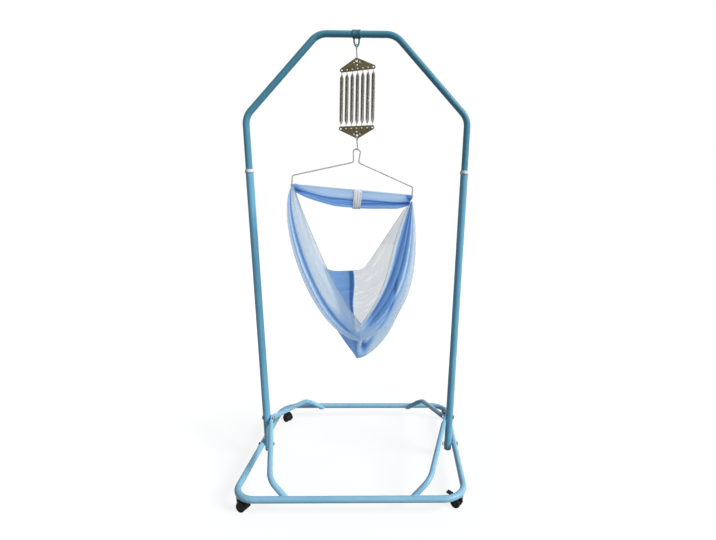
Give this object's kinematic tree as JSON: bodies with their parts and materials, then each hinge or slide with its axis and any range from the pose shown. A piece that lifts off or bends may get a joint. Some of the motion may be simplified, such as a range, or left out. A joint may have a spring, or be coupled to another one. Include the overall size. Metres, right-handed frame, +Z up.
{
  "type": "hanging baby cradle",
  "caption": "Freestanding bent-tube stand on twin-wheel castors; springs between perforated plates carry a wire hanger and a loop of sheer cloth in which a baby is rocked and bounced.",
  "frame": {"origin": "on the floor, midway between the two uprights and between the front and rear castor rows", "axes": "+Z up, +X to the right of a viewer in front, +Y away from that viewer"},
  "size_m": [0.8668, 0.712, 1.6817],
  "materials": {
    "blue_paint": "gloss light blue powder coat",
    "teal_paint": "gloss steel blue powder coat",
    "white_plastic": "satin white moulding",
    "blue_plastic": "satin blue moulding",
    "black_plastic": "moulded black nylon",
    "zinc_steel": "bright zinc plate",
    "bronze_plate": "dark olive lacquered sheet",
    "spring_steel": "nickel-plated spring wire",
    "grey_wire": "plated wire",
    "sky_cloth": "sheer light blue voile",
    "white_cloth": "white woven tape"
  },
  "bodies": {
    "stand": {"arch_tube": "teal_paint", "hook_band": "teal_paint", "front_base_tube": "blue_paint", "rear_base_tube": "blue_paint", "left_upright": "blue_paint", "left_ferrule": "white_plastic", "left_foot_plug": "blue_plastic", "left_brace_bolt": "zinc_steel", "left_brace_nut": "zinc_steel", "left_base_bolt": "zinc_steel", "left_base_nut": "zinc_steel", "front_left_brace": "blue_paint", "rear_left_brace": "blue_paint", "right_upright": "blue_paint", "right_ferrule": "white_plastic", "right_foot_plug": "blue_plastic", "right_brace_bolt": "zinc_steel", "right_brace_nut": "zinc_steel", "right_base_bolt": "zinc_steel", "right_base_nut": "zinc_steel", "front_right_brace": "blue_paint", "rear_right_brace": "blue_paint", "front_left_castor_stem": "zinc_steel", "front_right_castor_stem": "zinc_steel", "rear_left_castor_stem": "zinc_steel", "rear_right_castor_stem": "zinc_steel"},
    "front_left_castor_swivel": {"front_left_castor_hood": "black_plastic"},
    "front_left_castor_wheels": {"front_left_castor_wheel_inner": "black_plastic", "front_left_castor_wheel_outer": "black_plastic"},
    "front_left_castor_brake": {"front_left_castor_brake_lever": "black_plastic"},
    "front_right_castor_swivel": {"front_right_castor_hood": "black_plastic"},
    "front_right_castor_wheels": {"front_right_castor_wheel_inner": "black_plastic", "front_right_castor_wheel_outer": "black_plastic"},
    "front_right_castor_brake": {"front_right_castor_brake_lever": "black_plastic"},
    "rear_left_castor_swivel": {"rear_left_castor_hood": "black_plastic"},
    "rear_left_castor_wheels": {"rear_left_castor_wheel_inner": "black_plastic", "rear_left_castor_wheel_outer": "black_plastic"},
    "rear_right_castor_swivel": {"rear_right_castor_hood": "black_plastic"},
    "rear_right_castor_wheels": {"rear_right_castor_wheel_inner": "black_plastic", "rear_right_castor_wheel_outer": "black_plastic"},
    "upper_hook": {"upper_s_hook": "zinc_steel"},
    "spring_head": {"top_spring_plate": "bronze_plate", "spring_1": "spring_steel", "spring_2": "spring_steel", "spring_3": "spring_steel", "spring_4": "spring_steel", "spring_5": "spring_steel", "spring_6": "spring_steel", "spring_7": "spring_steel"},
    "spring_foot": {"bottom_spring_plate": "bronze_plate"},
    "lower_hook": {"lower_s_hook": "zinc_steel"},
    "cradle": {"hanger_wire": "grey_wire", "hanger_rod": "grey_wire", "cloth_header": "sky_cloth", "cloth_strap": "white_cloth", "cloth_sling": "sky_cloth"}
  },
  "joints": [
    {"name": "front_left_castor_turn", "type": "hinge", "parent": "stand", "child": "front_left_castor_swivel", "pos_m": [-0.37698, -0.312, 0.04], "axis": [0, 0, 1], "continuous": true},
    {"name": "front_left_castor_roll", "type": "hinge", "parent": "front_left_castor_swivel", "child": "front_left_castor_wheels", "pos_m": [-0.36248, -0.31876, 0.018], "axis": [-0.4226, -0.9063, 0], "continuous": true},
    {"name": "front_left_castor_brake_press", "type": "hinge", "parent": "front_left_castor_swivel", "child": "front_left_castor_brake", "pos_m": [-0.34556, -0.32665, 0.03366], "axis": [-0.4226, -0.9063, 0], "range_deg": [-18, 0]},
    {"name": "front_right_castor_turn", "type": "hinge", "parent": "stand", "child": "front_right_castor_swivel", "pos_m": [0.37698, -0.312, 0.04], "axis": [0, 0, 1], "continuous": true},
    {"name": "front_right_castor_roll", "type": "hinge", "parent": "front_right_castor_swivel", "child": "front_right_castor_wheels", "pos_m": [0.36387, -0.30282, 0.018], "axis": [0.5736, 0.8192, 0], "continuous": true},
    {"name": "front_right_castor_brake_press", "type": "hinge", "parent": "front_right_castor_swivel", "child": "front_right_castor_brake", "pos_m": [0.34858, -0.29212, 0.03366], "axis": [0.5736, 0.8192, 0], "range_deg": [-18, 0]},
    {"name": "rear_left_castor_turn", "type": "hinge", "parent": "stand", "child": "rear_left_castor_swivel", "pos_m": [-0.37698, 0.312, 0.04], "axis": [0, 0, 1], "continuous": true},
    {"name": "rear_left_castor_roll", "type": "hinge", "parent": "rear_left_castor_swivel", "child": "rear_left_castor_wheels", "pos_m": [-0.36472, 0.30172, 0.018], "axis": [-0.6428, -0.766, 0], "continuous": true},
    {"name": "rear_right_castor_turn", "type": "hinge", "parent": "stand", "child": "rear_right_castor_swivel", "pos_m": [0.37698, 0.312, 0.04], "axis": [0, 0, 1], "continuous": true},
    {"name": "rear_right_castor_roll", "type": "hinge", "parent": "rear_right_castor_swivel", "child": "rear_right_castor_wheels", "pos_m": [0.39243, 0.31614, 0.018], "axis": [0.2588, -0.9659, 0], "continuous": true},
    {"name": "fore_aft_swing", "type": "hinge", "parent": "stand", "child": "upper_hook", "pos_m": [0, 0, 1.62307], "axis": [1, 0, 0], "range_deg": [-25, 25]},
    {"name": "side_sway", "type": "hinge", "parent": "upper_hook", "child": "spring_head", "pos_m": [0, 0, 1.57187], "axis": [0, 1, 0], "range_deg": [-10, 10]},
    {"name": "spring_bounce", "type": "slide", "parent": "spring_head", "child": "spring_foot", "axis": [0, 0, 1], "range_m": [-0.2, 0], "stiffness_N_per_m": 700, "springref_m": 0.03, "deforming": ["spring_1", "spring_2", "spring_3", "spring_4", "spring_5", "spring_6", "spring_7"]},
    {"name": "cradle_turn", "type": "hinge", "parent": "spring_foot", "child": "lower_hook", "pos_m": [0, 0, 1.23811], "axis": [0, 0, 1], "range_deg": [-40, 40]},
    {"name": "hanger_rock", "type": "hinge", "parent": "lower_hook", "child": "cradle", "pos_m": [0, 0, 1.24301], "axis": [0.9703, 0.2419, 0], "range_deg": [-20, 20]}
  ]
}
